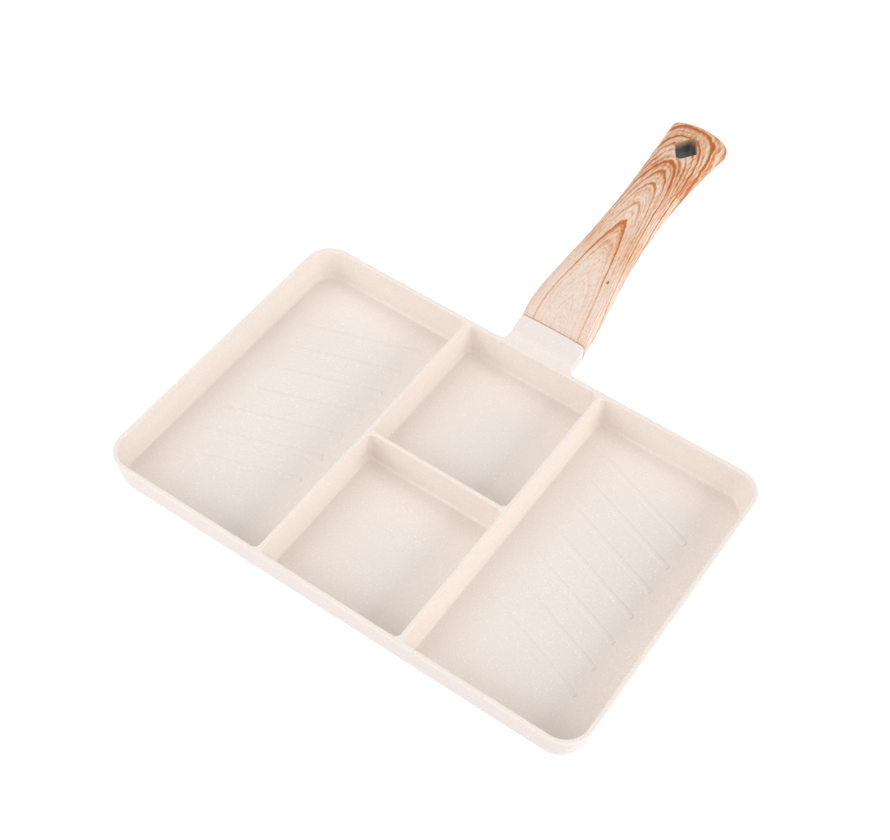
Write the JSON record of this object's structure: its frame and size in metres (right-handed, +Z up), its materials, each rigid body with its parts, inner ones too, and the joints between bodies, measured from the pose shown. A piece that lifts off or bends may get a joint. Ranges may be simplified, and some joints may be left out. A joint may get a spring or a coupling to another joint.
{
  "type": "divided frying pan",
  "caption": "Rectangular cast frying pan with partitioned cooking compartments, slanted floor ribs, perforated base plate and an arched wood-look handle with a hanging hole.",
  "frame": {"origin": "centre of the tray's flat underside, where it rests on a hob", "axes": "+Z up, out of the compartments; +Y from the tray to the handle's tail; +X along the tray's long side"},
  "size_m": [0.2868, 0.3649, 0.0605],
  "materials": {
    "cream_coating": "satin speckled coating on cast aluminium",
    "base_steel": "brushed",
    "wood_print": "satin wood-grain print on moulded resin",
    "plated_steel": "zinc plated"
  },
  "bodies": {
    "root": {"pan_body": "cream_coating", "base_plate": "base_steel", "handle_grip": "wood_print", "handle_screw": "plated_steel", "spring_washer": "plated_steel", "flat_washer": "plated_steel"}
  },
  "joints": []
}
